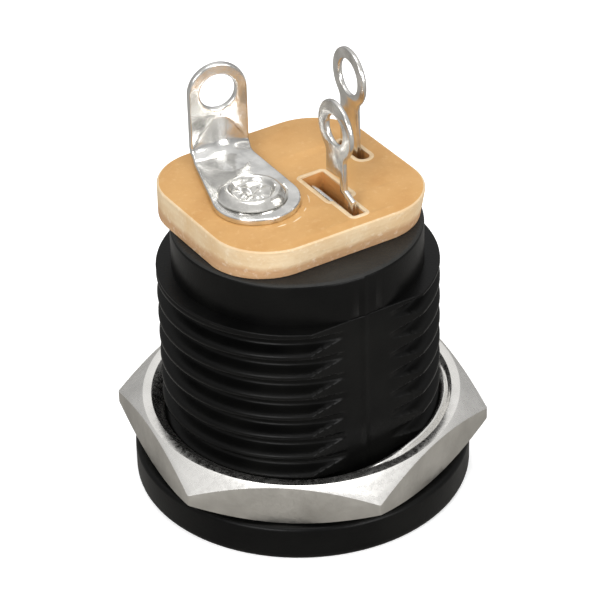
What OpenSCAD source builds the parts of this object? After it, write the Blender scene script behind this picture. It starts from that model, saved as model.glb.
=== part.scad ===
// Panel-mount DC barrel jack: a threaded, flanged moulding with two flats, held by one hex nut.
// A phenolic board closes its rear end and carries three upright solder lugs.
// The origin is the centre of the flange's front face. +Z runs rearwards, towards the lugs.

/* [Flange] */
// How far the flange reaches past the thread all round
flange_lip = 1.3; // [0.8:0.1:2]
// Thickness of the flange
flange_t = 1.7; // [1.4:0.1:2.6]
// Radius of the flange's outer edge at the front face
flange_front_r = 0.4; // [0.1:0.05:0.5]
// Radius of the flange's outer edge at the panel side
flange_rear_r = 0.2; // [0.1:0.05:0.4]

/* [Threaded body] */
// Major diameter of the outside thread
thread_d = 12; // [11.8:0.1:12.6]
// Pitch of the thread
thread_pitch = 1; // [0.75:0.05:1.25]
// Depth of the thread, from crest to root
thread_depth = 0.52; // [0.35:0.01:0.55]
// Width of the thread's crest
thread_crest_w = 0.16; // [0.1:0.01:0.25]
// Length of the threaded stretch behind the flange
thread_l = 9.25; // [7.8:0.05:11]
// Depth of each of the two flats that keep the jack from turning in its panel, below the crests
flat_depth = 0.6; // [0.4:0.02:0.64]
// Step from the crests in to the plain collar behind the thread
collar_step = 0.65; // [0.64:0.01:0.85]
// Length of the collar
collar_l = 1.55; // [1:0.05:3]
// Chamfer round the collar's rear edge
collar_chamfer = 0.15; // [0.05:0.05:0.3]

/* [Socket] */
// Bore that takes the plug's barrel
socket_d = 6.2; // [5.8:0.05:6.3]
// Distance from the thread's axis to the socket's axis
socket_offset = 2.1; // [1.9:0.05:2.15]
// Chamfer at the socket's mouth
mouth_chamfer = 0.15; // [0.05:0.05:0.3]
// Thickness of the wall that closes the socket's rear end
end_wall = 1.2; // [0.8:0.1:2]

/* [Contact chambers] */
// Height at which the spring's chamber begins, above the front face
spring_room_z = 1.5; // [1.2:0.1:2]
// Depth of the spring's chamber behind the leaf, in which the leaf bends back
flex_room = 1; // [0.7:0.1:1.4]
// Height at which the switch contact's chamber begins, above the front face
switch_room_z = 5.2; // [4.5:0.1:5.4]
// Gap between a contact and the wall that it lies against
seat_gap = 0.02; // [0.01:0.01:0.05]
// Gap at each edge of a contact
side_gap = 0.1; // [0.05:0.05:0.15]

/* [Hex nut] */
// Wall of the nut between the thread's major diameter and the nut's flats
nut_wall = 1; // [0.8:0.1:2]
// Thickness of the nut
nut_t = 2; // [1.4:0.1:3]
// How far inside the nut's flats its corner chamfers begin
nut_face_step = 0.25; // [0.2:0.05:0.4]
// Angle of the nut's corner chamfers to its faces
nut_chamfer_angle = 30; // [20:1:35]
// How far the countersinks at both ends of the nut's thread open past the crests
nut_sink_step = 0.2; // [0.15:0.05:0.4]
// Turn of the nut about the thread
nut_turn = 21.5; // [0:0.5:60]
// Radial clearance between the nut's thread and the body's
thread_gap = 0.06; // [0.03:0.01:0.1]

/* [Board] */
// Width of the board, along X
board_w = 9.85; // [9.3:0.05:10]
// Length of the board, along Y
board_l = 9.1; // [8.5:0.1:9.4]
// Thickness of the board
board_t = 1.5; // [1:0.1:2]
// Radius of the board's corners
board_corner_r = 2.5; // [2:0.1:3.5]
// Shift of the board along Y, from the thread's axis
board_shift = 0.4; // [0:0.05:0.4]
// How far the board's broken edge at -Y leans in towards the housing
board_lean = 0.4; // [0:0.05:0.6]
// Width of the wide stretch of the slot that the sleeve contact passes through
sleeve_slot_w = 1.1; // [0.7:0.05:1.2]
// Width of that slot's narrow stretch, round the contact's leg
leg_slot_w = 0.6; // [0.4:0.05:0.7]
// Length of that slot's narrow stretch
leg_slot_l = 1.3; // [0.8:0.1:2]
// Width of the slot that the switch contact passes through
switch_slot_w = 0.6; // [0.45:0.05:0.8]
// Gap at each end of both slots
slot_end_gap = 0.25; // [0.15:0.05:0.3]

/* [Centre pin] */
// Diameter of the pin that enters the plug
pin_d = 2.1; // [1.9:0.05:2.5]
// Depth of the pin's tip below the front face
pin_recess = 2.1; // [1:0.1:3]
// Height of the pin's domed tip
pin_dome = 0.6; // [0.3:0.05:0.9]
// Diameter of the shoulder that bears on the socket's end wall
pin_shoulder_d = 3.2; // [2.8:0.1:4]
// Thickness of the shoulder
pin_shoulder_t = 0.9; // [0.6:0.1:1.4]
// Diameter of the shank that passes through the end wall, the board and the lug
pin_shank_d = 1.5; // [1.2:0.1:1.8]
// Radial clearance round the shank
shank_gap = 0.03; // [0.01:0.01:0.06]
// Diameter of the head that is peened over the lug
rivet_d = 3; // [2.6:0.1:3.1]
// Height of the peened head
rivet_h = 0.35; // [0.25:0.05:0.6]
// Diameter of the dish in the peened head
rivet_dish_d = 2.1; // [1.7:0.1:2.2]
// Depth of the dish
rivet_dish_depth = 0.18; // [0.1:0.02:0.24]

/* [Pin lug] */
// Thickness of the pin lug's sheet
lug_t = 0.3; // [0.2:0.05:0.5]
// Diameter of the lug's round end under the rivet
lug_end_d = 3.7; // [3.2:0.1:3.8]
// Sideways shift of that round end from the rivet, towards the other contacts
lug_end_shift = 0.1; // [0:0.05:0.2]
// Width of the lug's upright
lug_w = 2.6; // [2.2:0.1:3]
// Distance from the pin's axis to the upright's outer face
lug_reach = 4.1; // [3.6:0.1:4.2]
// Turn of the lug about the pin, from +Y towards +X
lug_turn = 11; // [0:1:20]
// Inside radius of the lug's bend
lug_bend_r = 0.45; // [0.3:0.05:0.8]
// Diameter of the hole in the lug's upright
lug_hole_d = 1.6; // [1.2:0.1:1.8]
// Width of the rib pressed across the inside of the bend
rib_w = 1.4; // [0.6:0.1:1.6]
// Leg of that rib along each side of the bend
rib_leg = 0.9; // [0.8:0.1:1.3]

/* [Narrow lugs] */
// Thickness of the sheet of the sleeve contact and the switch contact
contact_t = 0.22; // [0.2:0.01:0.3]
// Height of the centres of the holes above the board, for the pin lug and the sleeve contact
lug_rise = 3.2; // [2.8:0.1:4]
// Outside diameter of the narrow lugs' loops
loop_d = 2.6; // [2.2:0.1:2.8]
// Diameter of the hole in the sleeve contact's loop
sleeve_hole_d = 1.3; // [1:0.1:1.6]
// Width of the necks below the loops
neck_w = 1.4; // [1.1:0.1:1.6]
// Radius of the fillets between neck and loop
neck_fillet_r = 0.5; // [0.3:0.05:0.6]

/* [Sleeve contact] */
// Place of the sleeve contact's sheet along X
sleeve_x = 0.95; // [0.93:0.01:1.1]
// Place of the middle of the sleeve contact's lug along Y
sleeve_lug_y = -1.7; // [-1.8:0.05:-1.5]
// Width of the spring leaf
leaf_w = 3.1; // [2.6:0.1:3.1]
// Place of the middle of the leaf along Y
leaf_y = -1.35; // [-1.5:0.05:-1.35]
// Height of the leaf's bowed contact point above the front face
bow_z = 3.3; // [3:0.1:4]
// Distance from the socket's axis to the middle of the sheet at the bow
bow_r = 2.2; // [1.9:0.05:2.5]
// Height of the leaf's free tip above the front face
tip_z = 1.8; // [1.7:0.1:2.2]
// Width of the leg that joins the lug to the leaf
leg_w = 0.35; // [0.25:0.05:0.5]
// Sideways step in the leg
leg_step = 0.45; // [0.2:0.05:0.5]

/* [Switch contact] */
// Place of the switch contact's sheet along X, where it passes the board
switch_x = 3.65; // [3.5:0.05:3.7]
// Place of the middle of the switch contact along Y
switch_y = 1.42; // [1.35:0.01:1.5]
// How much higher the switch contact's loop stands than the sleeve contact's
switch_lift = 0.2; // [0:0.05:0.5]
// Diameter of the hole in the switch contact's loop
switch_hole_d = 1.6; // [1:0.1:1.7]

/* [Hidden] */
$fn = 96;
cut = 0.5;                 // how far a cutting solid runs past the face that it opens
crest_lead = 0.72;         // the thread's first crest behind the flange, in pitches
flank_angle = 30;          // each flank of the thread, from the plane across its axis
slot_corner_r = 0.15;      // corner radius of the board's slots
slot_offset = 0.1;         // how far the wide slot's middle lies past the sleeve contact, towards +X
neck_gap = 1.1;            // height of the open gap between the board and the sleeve lug's neck
leg_foot = 0.4;            // height of the leg's foot above the board, below its step
ear_w = 1.3;               // how far the leaf's ear reaches past its edge, onto the switch contact
ear_z = [6.2, 7.4];        // the ear's lower and upper edge
leaf_bend_z = 6;           // where the leaf leaves its straight stretch
leaf_tip_w = 2.2;          // width of the leaf at its bow and tip
leaf_sink = 0.15;          // depth of the leaf's top edge below the board's face
star_w = 0.18;             // width of the star punch's marks in the peened head
star_depth = 0.12;         // depth of those marks below the dish
star_turn = 20;            // turn of the star about the pin
switch_foot_z = 5.6;       // lower end of the switch contact
switch_jog_z = [9, 10.4];  // lower and upper end of the switch contact's slanted stretch
sheet_bend_r = 0.5;        // middle radius of the contacts' gentle bends

thread_r = thread_d / 2;
root_r = thread_r - thread_depth;
flange_r = thread_r + flange_lip;
collar_r = thread_r - collar_step;
flat_y = thread_r - flat_depth;
nut_half = thread_r + nut_wall;
nut_face_r = nut_half - nut_face_step;
thread_top = flange_t + thread_l;
body_top = thread_top + collar_l;
board_z = body_top;
board_top = board_z + board_t;
lug_z = board_top + lug_rise;
socket_r = socket_d / 2;
socket_x = -socket_offset;
socket_end = body_top - end_wall;
crest_half = thread_crest_w / 2;
ridge_half = crest_half + thread_depth * tan(flank_angle);
first_crest = flange_t + crest_lead * thread_pitch;
turns = floor((thread_l - thread_pitch) / thread_pitch) + 1;
sleeve_face = sleeve_x - contact_t / 2;
switch_face = switch_x + contact_t / 2;
leaf_edges = [leaf_y - leaf_w / 2, leaf_y + leaf_w / 2];
leaf_top = board_top - leaf_sink;
switch_inner_x = sleeve_x - contact_t;
lug_middle = lug_reach - lug_t / 2;

// Points on an arc about the centre c, from angle a0 to a1
function arc(c, r, a0, a1, n = 8) = [for (i = [0:n]) c + r * [cos(a0 + (a1 - a0) * i / n), sin(a0 + (a1 - a0) * i / n)]];

// Outline of a rectangle with round corners, about the origin
function round_rect(w, l, r, n = 8) = concat(
    arc([w / 2 - r, l / 2 - r], r, 0, 90, n),
    arc([r - w / 2, l / 2 - r], r, 90, 180, n),
    arc([r - w / 2, r - l / 2], r, 180, 270, n),
    arc([w / 2 - r, r - l / 2], r, 270, 360, n));

function unit(v) = v / norm(v);
function left_of(v) = [-v[1], v[0]];

// A path of straight stretches, with each inner corner replaced by a bend of radius r
function bent_path(p, r, n = 6) = [
    p[0],
    for (i = [1:len(p) - 2])
        let (
            u = unit(p[i] - p[i - 1]),
            v = unit(p[i + 1] - p[i]),
            turn = atan2(u[0] * v[1] - u[1] * v[0], u * v),
            side = sign(turn),
            start = p[i] - u * r * tan(abs(turn) / 2),
            c = start + side * r * left_of(u),
            a0 = atan2(u[1], u[0]) - side * 90
        )
        each arc(c, r, a0, a0 + turn, n),
    p[len(p) - 1]
];

// Outline of a sheet of thickness t that follows the path p
function sheet_side(p, t, side) = [
    for (i = [0:len(p) - 1])
        let (
            u = i == 0 ? unit(p[1] - p[0]) : unit(p[i] - p[i - 1]),
            v = i == len(p) - 1 ? u : unit(p[i + 1] - p[i]),
            m = unit(u + v)
        )
        p[i] + side * t / 2 * left_of(m) / (m * u)
];
function reversed(p) = [for (i = [len(p) - 1:-1:0]) p[i]];
function sheet_outline(p, t) = concat(sheet_side(p, t, 1), reversed(sheet_side(p, t, -1)));

// Half section of the ridges between two heights, grown outwards by a gap
function ridges(gap, count) = [
    for (i = [0:count - 1])
        let (z = first_crest + i * thread_pitch)
        each [
            [root_r + gap, z - ridge_half],
            [thread_r + gap, z - crest_half],
            [thread_r + gap, z + crest_half],
            [root_r + gap, z + ridge_half]
        ]
];

// Stands a drawing of the YZ plane upright and gives it a span along X
module across_x(x0, x1) {
    translate([x0, 0, 0])
        rotate([90, 0, 90])
            linear_extrude(x1 - x0)
                children();
}

// Stands a drawing of the XZ plane upright and gives it a span along Y
module across_y(y0, y1) {
    translate([0, y1, 0])
        rotate([90, 0, 0])
            linear_extrude(y1 - y0)
                children();
}

module body_of_revolution() {
    rotate_extrude()
        polygon(concat(
            [[0, 0]],
            arc([flange_r - flange_front_r, flange_front_r], flange_front_r, -90, 0, 4),
            arc([flange_r - flange_rear_r, flange_t - flange_rear_r], flange_rear_r, 0, 90, 4),
            [[root_r, flange_t]],
            ridges(0, turns),
            [
                [root_r, thread_top - (root_r - collar_r)],
                [collar_r, thread_top],
                [collar_r, body_top - collar_chamfer],
                [collar_r - collar_chamfer, body_top],
                [0, body_top]
            ]));
}

module socket_bore() {
    translate([socket_x, 0, -cut])
        cylinder(h = socket_end + cut, r = socket_r);
    translate([socket_x, 0, -cut])
        cylinder(h = cut + mouth_chamfer, r1 = socket_r + mouth_chamfer + cut, r2 = socket_r);
    translate([socket_x, 0, socket_end - cut])
        cylinder(h = end_wall + 2 * cut, d = pin_shank_d + 2 * shank_gap);
}

module contact_chambers() {
    y0 = leaf_edges[0] - side_gap;
    y1 = leaf_edges[1] + side_gap;
    y2 = switch_y + neck_w / 2 + side_gap;
    x0 = sleeve_face - seat_gap;
    x1 = sleeve_x + contact_t / 2 + flex_room;
    x2 = switch_inner_x - contact_t / 2 - side_gap;
    // open to the socket, so that the bowed leaf can reach the plug
    translate([socket_x + socket_r / 2, y0, spring_room_z])
        cube([x1 - socket_x - socket_r / 2, y1 - y0, socket_end - spring_room_z]);
    translate([x0, y0, socket_end - cut])
        cube([x1 - x0, y1 - y0, end_wall + 2 * cut]);
    translate([x2, y1 - cut, switch_room_z])
        cube([switch_face + seat_gap - x2, y2 - y1 + cut, body_top - switch_room_z + cut]);
}

module housing() {
    color([0.11, 0.11, 0.11])
        difference() {
            body_of_revolution();
            for (side = [-1, 1])
                translate([-thread_d, side * (flat_y + thread_r) - thread_r, flange_t])
                    cube([2 * thread_d, thread_d, thread_l]);
            socket_bore();
            contact_chambers();
        }
}

module nut_blank() {
    corner_r = nut_half / cos(30);
    cone_r = corner_r + cut;
    point_r = nut_face_r - cut / tan(nut_chamfer_angle);
    drop = (cone_r - nut_face_r) * tan(nut_chamfer_angle);
    intersection() {
        rotate(nut_turn)
            cylinder(h = nut_t, r = corner_r, $fn = 6);
        rotate_extrude()
            polygon([
                [0, -cut],
                [point_r, -cut],
                [cone_r, drop],
                [cone_r, nut_t - drop],
                [point_r, nut_t + cut],
                [0, nut_t + cut]
            ]);
    }
}

module nut_thread() {
    sink_r = thread_r + nut_sink_step;
    reach = floor((nut_t + thread_pitch) / thread_pitch) + 1;
    rotate_extrude()
        polygon(concat(
            [[0, flange_t - cut], [root_r + thread_gap, flange_t - cut]],
            ridges(thread_gap, reach),
            [[root_r + thread_gap, flange_t + nut_t + 2 * thread_pitch], [0, flange_t + nut_t + 2 * thread_pitch]]));
    for (end = [0, 1])
        translate([0, 0, flange_t + end * nut_t])
            mirror([0, 0, end])
                translate([0, 0, -cut])
                    cylinder(h = 2 * cut, r1 = sink_r + cut, r2 = sink_r - cut);
}

module hex_nut() {
    color([0.78, 0.78, 0.76])
        difference() {
            translate([0, 0, flange_t])
                nut_blank();
            nut_thread();
        }
}

module slot(x, y0, y1, w) {
    translate([x, (y0 + y1) / 2, -cut])
        linear_extrude(board_t + 2 * cut)
            polygon(round_rect(w, y1 - y0, slot_corner_r, 3));
}

module back_board() {
    y0 = leaf_edges[0] - slot_end_gap;
    y1 = leaf_edges[1] + slot_end_gap;
    front = board_shift - board_l / 2;
    color([0.84, 0.66, 0.43])
        translate([0, 0, board_z])
            difference() {
                translate([0, board_shift, 0])
                    linear_extrude(board_t)
                        polygon(round_rect(board_w, board_l, board_corner_r));
                // the edge at -Y, broken off a strip of boards
                across_x(-board_w, board_w)
                    polygon([
                        [front - cut, -cut],
                        [front + board_lean * (1 + cut / board_t), -cut],
                        [front - board_lean * cut / board_t, board_t + cut],
                        [front - cut, board_t + cut]
                    ]);
                slot(sleeve_x + slot_offset, y0 + leg_slot_l, y1, sleeve_slot_w);
                slot(sleeve_x, y0, y0 + leg_slot_l + 2 * slot_corner_r, leg_slot_w);
                slot(switch_x, switch_y - neck_w / 2 - 2 * slot_end_gap, switch_y + neck_w / 2 + seat_gap, switch_slot_w);
                translate([socket_x, 0, -cut])
                    cylinder(h = board_t + 2 * cut, d = pin_shank_d + 2 * shank_gap);
            }
}

module centre_pin() {
    tip = pin_recess;
    seat = board_top + lug_t;
    floor_z = seat + rivet_h - rivet_dish_depth;
    color([0.8, 0.8, 0.78])
        translate([socket_x, 0, 0])
            difference() {
                rotate_extrude()
                    polygon(concat(
                        [for (a = [0:15:90]) [pin_d / 2 * sin(a), tip + pin_dome * (1 - cos(a))]],
                        [
                            [pin_d / 2, socket_end - pin_shoulder_t],
                            [pin_shoulder_d / 2, socket_end - pin_shoulder_t],
                            [pin_shoulder_d / 2, socket_end],
                            [pin_shank_d / 2, socket_end],
                            [pin_shank_d / 2, seat],
                            [rivet_d / 2, seat]
                        ],
                        arc([rivet_d / 2 - rivet_h / 2, seat + rivet_h / 2], rivet_h / 2, 0, 90, 4),
                        [
                            [rivet_dish_d / 2, seat + rivet_h],
                            [rivet_dish_d / 2 - rivet_dish_depth, floor_z],
                            [0, floor_z]
                        ]));
                // marks of the star punch that spread the shank
                for (a = [0, 90])
                    rotate(a + star_turn)
                        translate([-rivet_dish_d / 3, -star_w / 2, floor_z - star_depth])
                            cube([rivet_dish_d * 2 / 3, star_w, rivet_h]);
            }
}

// Flat drawing of the pin lug seen along Z: a round end that narrows to the upright's width
function lug_plan() = let (
        a = asin((lug_end_d - lug_w) / 2 / lug_reach)
    )
    concat(
        arc([lug_end_shift, 0], lug_end_d / 2, 180 - a, 360 + a, 24),
        [[lug_w / 2, lug_reach], [-lug_w / 2, lug_reach]]);

module pin_lug() {
    path = [[-lug_end_d / 2 - cut, board_top + lug_t / 2], [lug_middle, board_top + lug_t / 2], [lug_middle, lug_z + lug_w]];
    corner = [lug_reach - lug_t, board_top + lug_t];
    color([0.8, 0.8, 0.77])
        translate([socket_x, 0, 0])
            rotate(-lug_turn)
                difference() {
                    union() {
                        intersection() {
                            across_x(-lug_end_d, lug_end_d)
                                polygon(sheet_outline(bent_path(path, lug_bend_r + lug_t / 2), lug_t));
                            union() {
                                linear_extrude(lug_z)
                                    polygon(lug_plan());
                                across_y(lug_reach / 2, lug_reach + cut)
                                    polygon(concat(
                                        [[-lug_w / 2, board_top], [lug_w / 2, board_top]],
                                        arc([0, lug_z], lug_w / 2, 0, 180, 24)));
                            }
                        }
                        // rib pressed into the bend
                        across_x(-rib_w / 2, rib_w / 2)
                            polygon([corner + [lug_t / 2, -lug_t / 2], corner + [lug_t / 2, rib_leg], corner + [0, rib_leg],
                                corner + [-rib_leg, 0], corner + [-rib_leg, -lug_t / 2]]);
                    }
                    translate([0, lug_reach + cut, lug_z])
                        rotate([90, 0, 0])
                            cylinder(h = lug_t + 2 * cut, d = lug_hole_d);
                    translate([0, 0, board_top - cut])
                        cylinder(h = lug_t + 2 * cut, d = pin_shank_d + 2 * shank_gap);
                }
}

// Round end of a narrow lug in the YZ plane, from the foot of its right fillet to that of its left
function lug_loop(y, z) = let (
        r = loop_d / 2,
        w = neck_w / 2,
        f = neck_fillet_r,
        drop = sqrt((r + f) ^ 2 - (w + f) ^ 2),
        a = atan2(drop, w + f)
    )
    concat(
        arc([y + w + f, z - drop], f, 180, 180 - a, 5),
        arc([y, z], r, -a, 180 + a, 32),
        arc([y - w - f, z - drop], f, a, 0, 5));

module loop_hole(x, y, z, d) {
    translate([x - contact_t, y, z])
        rotate([0, 90, 0])
            cylinder(h = 2 * contact_t, d = d);
}

module sleeve_contact() {
    bow_x = socket_x + bow_r;
    side = [[sleeve_x, lug_z + loop_d], [sleeve_x, leaf_bend_z], [bow_x, bow_z], [sleeve_x - contact_t / 2, tip_z]];
    neck_z = board_top + neck_gap;
    y0 = sleeve_lug_y - neck_w / 2;
    foot = board_top + leg_foot;
    e = leaf_edges;
    color([0.82, 0.82, 0.79])
        difference() {
            intersection() {
                across_y(e[0] - cut, e[1] + ear_w + cut)
                    polygon(sheet_outline(bent_path(side, sheet_bend_r), contact_t));
                across_x(bow_x - 2 * cut, sleeve_x + 2 * cut)
                    polygon(concat(
                        lug_loop(sleeve_lug_y, lug_z),
                        [
                            [y0, foot + leg_w / 2],
                            [y0 - leg_step, foot],
                            [y0 - leg_step, leaf_top],
                            [e[0], leaf_top],
                            [e[0], leaf_bend_z],
                            [e[1] - leaf_tip_w, bow_z + leaf_tip_w / 2],
                            [e[1] - leaf_tip_w, tip_z - cut],
                            [e[1], tip_z - cut],
                            [e[1], ear_z[0]],
                            [e[1] + ear_w, ear_z[0]],
                            [e[1] + ear_w, ear_z[1]],
                            [e[1], ear_z[1]],
                            [e[1], leaf_top],
                            [y0 - leg_step + leg_w, leaf_top],
                            [y0 - leg_step + leg_w, foot - leg_w / 2],
                            [y0 + leg_w, foot],
                            [y0 + leg_w, neck_z],
                            [y0 + neck_w, neck_z]
                        ]));
            }
            loop_hole(sleeve_x, sleeve_lug_y, lug_z, sleeve_hole_d);
        }
}

module switch_contact() {
    inner = switch_inner_x;
    side = [[switch_x, lug_z + loop_d], [switch_x, switch_jog_z[1]], [inner, switch_jog_z[0]], [inner, switch_foot_z]];
    y0 = switch_y - neck_w / 2;
    color([0.82, 0.82, 0.79])
        difference() {
            intersection() {
                across_y(switch_y - loop_d, switch_y + loop_d)
                    polygon(sheet_outline(bent_path(side, sheet_bend_r), contact_t));
                across_x(inner - cut, switch_x + cut)
                    polygon(concat(
                        lug_loop(switch_y, lug_z + switch_lift),
                        [[y0, switch_foot_z - cut], [y0 + neck_w, switch_foot_z - cut]]));
            }
            loop_hole(switch_x, switch_y, lug_z + switch_lift, switch_hole_d);
        }
}

housing();
hex_nut();
back_board();
centre_pin();
pin_lug();
sleeve_contact();
switch_contact();
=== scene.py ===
# Panel-mount DC barrel jack, dressed for the render. Metres, origin at the centre of the flange's front face,
# +Z towards the solder lugs. The shapes below are worked out in millimetres and scaled once, in newPiece.

import math

import bmesh
import bpy
from mathutils import Matrix, Vector
from mathutils.geometry import tessellate_polygon


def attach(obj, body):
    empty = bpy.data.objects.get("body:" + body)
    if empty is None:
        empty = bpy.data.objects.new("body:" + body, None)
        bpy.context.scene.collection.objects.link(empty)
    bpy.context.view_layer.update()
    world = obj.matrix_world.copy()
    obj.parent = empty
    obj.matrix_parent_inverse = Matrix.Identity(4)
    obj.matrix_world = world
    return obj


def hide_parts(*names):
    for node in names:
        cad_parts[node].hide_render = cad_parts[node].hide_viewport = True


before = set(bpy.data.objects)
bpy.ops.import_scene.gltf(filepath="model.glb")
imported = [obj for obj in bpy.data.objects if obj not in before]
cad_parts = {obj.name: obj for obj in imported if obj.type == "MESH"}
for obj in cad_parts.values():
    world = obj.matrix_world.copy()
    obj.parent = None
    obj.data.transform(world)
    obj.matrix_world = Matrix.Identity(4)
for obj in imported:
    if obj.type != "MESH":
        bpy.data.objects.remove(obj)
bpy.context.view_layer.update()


# ---------------------------------------------------------------- small helpers

def toLinear(hexColour):
    # written colours are sRGB, the shaders want linear values
    parts = [int(hexColour[i:i + 2], 16) / 255 for i in (1, 3, 5)]
    return tuple(c / 12.92 if c <= 0.04045 else ((c + 0.055) / 1.055) ** 2.4 for c in parts) + (1.0,)


def cosD(degrees):
    return math.cos(math.radians(degrees))


def sinD(degrees):
    return math.sin(math.radians(degrees))


def smoothStep(a, b, x):
    t = min(1.0, max(0.0, (x - a) / (b - a)))
    return t * t * (3 - 2 * t)


def softMin(a, b, width):
    # lower of two values, with the edge between them rounded over about this width
    lowest = min(a, b)
    return lowest - width * math.log(math.exp((lowest - a) / width) + math.exp((lowest - b) / width))


def arcPoints(centre, radius, start, end, steps):
    points = []
    for i in range(steps + 1):
        a = start + (end - start) * i / steps
        points.append((centre[0] + radius * cosD(a), centre[1] + radius * sinD(a)))
    return points


def newPiece(name, verts, faces, materials, faceSlots=None, sharpAngle=35):
    mesh = bpy.data.meshes.new(name)
    mesh.from_pydata([(v[0] * 0.001, v[1] * 0.001, v[2] * 0.001) for v in verts], [], faces)
    for material in materials:
        mesh.materials.append(material)
    if faceSlots:
        for polygon, index in zip(mesh.polygons, faceSlots):
            polygon.material_index = index
    piece = bpy.data.objects.new(name, mesh)
    bpy.context.scene.collection.objects.link(piece)
    tidyMesh(piece, sharpAngle)
    return piece


def tidyMesh(piece, sharpAngle=35):
    work = bmesh.new()
    work.from_mesh(piece.data)
    bmesh.ops.remove_doubles(work, verts=work.verts, dist=2e-7)
    bmesh.ops.dissolve_degenerate(work, edges=work.edges, dist=1e-7)
    bmesh.ops.recalc_face_normals(work, faces=work.faces)
    work.to_mesh(piece.data)
    work.free()
    for polygon in piece.data.polygons:
        polygon.use_smooth = True
    piece.data.set_sharp_from_angle(angle=math.radians(sharpAngle))


def cutWith(piece, cutter, sharpAngle=35):
    cut = piece.modifiers.new("cut", "BOOLEAN")
    cut.operation = "DIFFERENCE"
    cut.solver = "EXACT"
    cut.object = cutter
    applyModifiers(piece)
    bpy.data.objects.remove(cutter)
    tidyMesh(piece, sharpAngle)


def applyModifiers(piece):
    depsgraph = bpy.context.evaluated_depsgraph_get()
    baked = bpy.data.meshes.new_from_object(piece.evaluated_get(depsgraph))
    piece.modifiers.clear()
    piece.data = baked


def joinPieces(name, pieces):
    with bpy.context.temp_override(active_object=pieces[0], selected_editable_objects=pieces):
        bpy.ops.object.join()
    pieces[0].name = name
    return pieces[0]


# ---------------------------------------------------------------- materials

def addNode(tree, kind, inputs=None, **settings):
    node = tree.nodes.new(kind)
    for key, value in settings.items():
        setattr(node, key, value)
    for key, value in (inputs or {}).items():
        if isinstance(value, bpy.types.NodeSocket):
            tree.links.new(value, node.inputs[key])
        else:
            node.inputs[key].default_value = value
    return node


def newMaterial(name):
    material = bpy.data.materials.new(name)
    material.use_nodes = True
    tree = material.node_tree
    tree.nodes.clear()
    shader = addNode(tree, "ShaderNodeBsdfPrincipled")
    output = addNode(tree, "ShaderNodeOutputMaterial")
    tree.links.new(shader.outputs["BSDF"], output.inputs["Surface"])
    place = addNode(tree, "ShaderNodeTexCoord").outputs["Object"]
    return material, tree, shader, place


def noise(tree, place, sizeMm, detail=3.0, roughness=0.5):
    # patches about this many millimetres across
    return addNode(tree, "ShaderNodeTexNoise", {
        "Vector": place, "Scale": 1000 / sizeMm, "Detail": detail, "Roughness": roughness})


def spread(tree, value, low, high, fromLow=0.3, fromHigh=0.7):
    return addNode(tree, "ShaderNodeMapRange", {
        "Value": value, "From Min": fromLow, "From Max": fromHigh, "To Min": low, "To Max": high}).outputs["Result"]


def mixColours(tree, factor, a, b):
    node = addNode(tree, "ShaderNodeMix", data_type="RGBA")
    for socket, value in ((node.inputs[0], factor), (node.inputs[6], a), (node.inputs[7], b)):
        if isinstance(value, bpy.types.NodeSocket):
            tree.links.new(value, socket)
        else:
            socket.default_value = value
    return node.outputs[2]


def bumps(tree, height, depthMm, strength=1.0, before=None):
    node = addNode(tree, "ShaderNodeBump", {"Height": height, "Distance": depthMm * 0.001, "Strength": strength})
    if before:
        tree.links.new(before, node.inputs["Normal"])
    return node.outputs["Normal"]


def makeNylon(name, look):
    # moulded black nylon: deep black, with a faint grain that breaks up its highlights
    material, tree, shader, place = newMaterial(name)
    cloudy = noise(tree, place, 2.2, 4).outputs["Fac"]
    fine = noise(tree, place, look["grainMm"], 2).outputs["Fac"]
    colour = mixColours(tree, spread(tree, cloudy, 0, 1), toLinear(look["dark"]), toLinear(look["light"]))
    tree.links.new(colour, shader.inputs["Base Color"])
    roughness = spread(tree, cloudy, look["roughness"] - 0.05, look["roughness"] + 0.06)
    tree.links.new(roughness, shader.inputs["Roughness"])
    shader.inputs["IOR"].default_value = 1.53
    shader.inputs["Specular IOR Level"].default_value = look["sheen"]
    tree.links.new(bumps(tree, fine, look["grainDepthMm"]), shader.inputs["Normal"])
    return material


def makeMetal(name, look):
    # plated sheet or turned metal: bright, with soft dents that bend the reflections and a fine tumbled grain
    material, tree, shader, place = newMaterial(name)
    wavy = noise(tree, place, look["waveMm"], 2).outputs["Fac"]
    fine = noise(tree, place, look["grainMm"], 2).outputs["Fac"]
    colour = mixColours(tree, spread(tree, wavy, 0, 1), toLinear(look["dark"]), toLinear(look["light"]))
    tree.links.new(colour, shader.inputs["Base Color"])
    shader.inputs["Metallic"].default_value = 1.0
    roughness = spread(tree, fine, look["roughness"] - 0.06, look["roughness"] + 0.08)
    tree.links.new(roughness, shader.inputs["Roughness"])
    waves = bumps(tree, wavy, look["waveDepthMm"])
    tree.links.new(bumps(tree, fine, look["grainDepthMm"], before=waves), shader.inputs["Normal"])
    return material


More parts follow.
